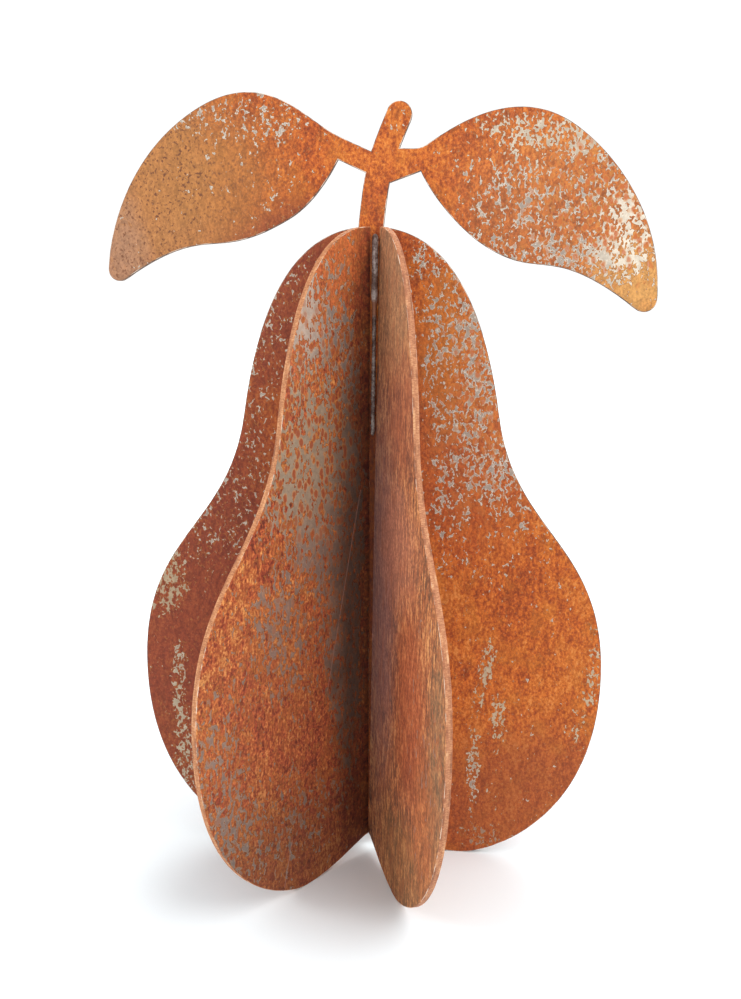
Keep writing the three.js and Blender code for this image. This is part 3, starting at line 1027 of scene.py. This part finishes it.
def seam_ends(node):
    """The middles of a packed seam's lower and upper end, and its radius."""
    corners, _ = welded(node)
    heights = corners[:, 2]
    low = corners[heights < heights.min() + SEAM_END].mean(0)
    high = corners[heights > heights.max() - SEAM_END].mean(0)
    low[2], high[2] = heights.min(), heights.max()
    radius = np.ptp(corners[:, 1]) / 2
    return low, high, radius


def bead_mesh(node, seed):
    """A bead laid in overlapping lumps, smoother and fuller in its upper part."""
    low, high, radius = seam_ends(node)
    length = np.linalg.norm(high - low)
    along = (high - low) / length
    side = np.cross(along, (0, 1, 0))
    side /= np.linalg.norm(side)
    other = np.cross(along, side)
    rng = np.random.default_rng(seed)
    count = math.ceil(length / BEAD_STEP)
    lump_ends = np.cumsum(rng.uniform(*LUMP_LENGTHS, MOST_LUMPS)) * MM
    points = []
    for k in range(count + 1):
        distance = length * k / count
        lump = np.searchsorted(lump_ends, distance)
        start = lump_ends[lump - 1] if lump else 0
        share = (distance - start) / (lump_ends[lump] - start)
        smooth = min(1, max(0, (distance / length - SMOOTH_START) / SMOOTH_FADE))
        swell = math.sqrt(max(0, 1 - (1.6 * share - 0.6) ** 2))
        ring_radius = radius * (VALLEY + ON_LUMP * swell * (1 - smooth) + ON_SMOOTH * smooth)
        end = min(distance, length - distance)
        ring_radius *= min(1, math.sqrt(max(end, LEAST_END) / END_ROUND))
        angles = np.arange(BEAD_SIDES) * 2 * math.pi / BEAD_SIDES
        places = np.stack([angles * radius * 3, np.full(BEAD_SIDES, distance)], 1)
        lumpy = 1 + (0.12 - 0.08 * smooth) * wander(places, LUMPY_SPACING, seed + 3)
        ring = np.outer(np.cos(angles) * lumpy, side) + np.outer(np.sin(angles) * lumpy, other)
        points.append(low + along * distance + ring * ring_radius)
    places = np.vstack(points)
    ring = np.arange(BEAD_SIDES)
    faces = []
    for k in range(count):
        nearer, farther = k * BEAD_SIDES + ring, (k + 1) * BEAD_SIDES + ring
        faces += np.stack([nearer, np.roll(nearer, -1), np.roll(farther, -1), farther], 1).tolist()
    faces += [ring[::-1].tolist(), (count * BEAD_SIDES + ring).tolist()]
    mesh = bpy.data.meshes.new(node + "_bead")
    mesh.from_pydata(places.tolist(), [], faces)
    mesh.shade_smooth()
    return mesh


def make_beads():
    metal = bead_look()
    for seed, node in enumerate(["front_weld_seam", "rear_weld_seam"]):
        place_piece(node + "_bead", bead_mesh(node, 700 + seed), [metal], node)


# The studio

FLOOR_REACH = 8.0
FLOOR_COLOUR = (0.88, 0.95, 0.98, 1)
DOME_STRENGTH = 1.08

# The direction that each sun's light comes from, its width in degrees and its strength
SUNS = {
    "key": ((0.5, -0.2, 0.8), 45, 1.4),
    "rim": ((0.1, 0.8, 0.6), 40, 0.9),
    "fill": ((-0.8, -0.3, 0.5), 15, 0.6),
}


def make_camera():
    data = bpy.data.cameras.new("camera")
    data.lens = FOCAL_PIXELS * SENSOR / FRAME_HEIGHT
    data.sensor_width = SENSOR
    camera = bpy.data.objects.new("camera", data)
    bpy.context.scene.collection.objects.link(camera)
    side = Vector((math.sin(CAMERA_SIDE), -math.cos(CAMERA_SIDE), 0)) * CAMERA_DISTANCE
    turn = (
        Matrix.Rotation(CAMERA_YAW, 4, "Z")
        @ Matrix.Rotation(CAMERA_TILT, 4, "X")
        @ Matrix.Rotation(CAMERA_ROLL, 4, "Z")
    )
    camera.matrix_world = Matrix.Translation(AXIS + side + Vector((0, 0, CAMERA_HEIGHT))) @ turn
    data.clip_start = 0.01
    bpy.context.scene.camera = camera


def soft_sun(name, toward, spread, strength):
    """Even light from a far softbox in a direction, with softer shadows the wider it is."""
    data = bpy.data.lights.new(name, "SUN")
    data.angle = math.radians(spread)
    data.energy = strength
    light = bpy.data.objects.new(name, data)
    bpy.context.scene.collection.objects.link(light)
    light.rotation_euler = Vector(toward).to_track_quat("Z", "Y").to_euler()


def make_floor():
    mesh = bpy.data.meshes.new("floor")
    far = FLOOR_REACH
    corners = [(-far, -far, 0), (far, -far, 0), (far, far, 0), (-far, far, 0)]
    mesh.from_pydata(corners, [], [(0, 1, 2, 3)])
    floor = bpy.data.objects.new("floor", mesh)
    bpy.context.scene.collection.objects.link(floor)
    look = Look("pale_floor")
    look.finish("Base Color", FLOOR_COLOUR)
    look.finish("Roughness", 0.9)
    look.finish("Specular IOR Level", 0.1)
    mesh.materials.append(look.material)


def make_world():
    world = bpy.data.worlds.new("studio")
    world.use_nodes = True
    background = world.node_tree.nodes["Background"]
    background.inputs["Color"].default_value = (1, 1, 1, 1)
    background.inputs["Strength"].default_value = DOME_STRENGTH
    bpy.context.scene.world = world
    bpy.context.scene.view_settings.view_transform = "Standard"


make_camera()
make_plates()
make_beads()
make_floor()
make_world()
for name, sun in SUNS.items():
    soft_sun(name, *sun)
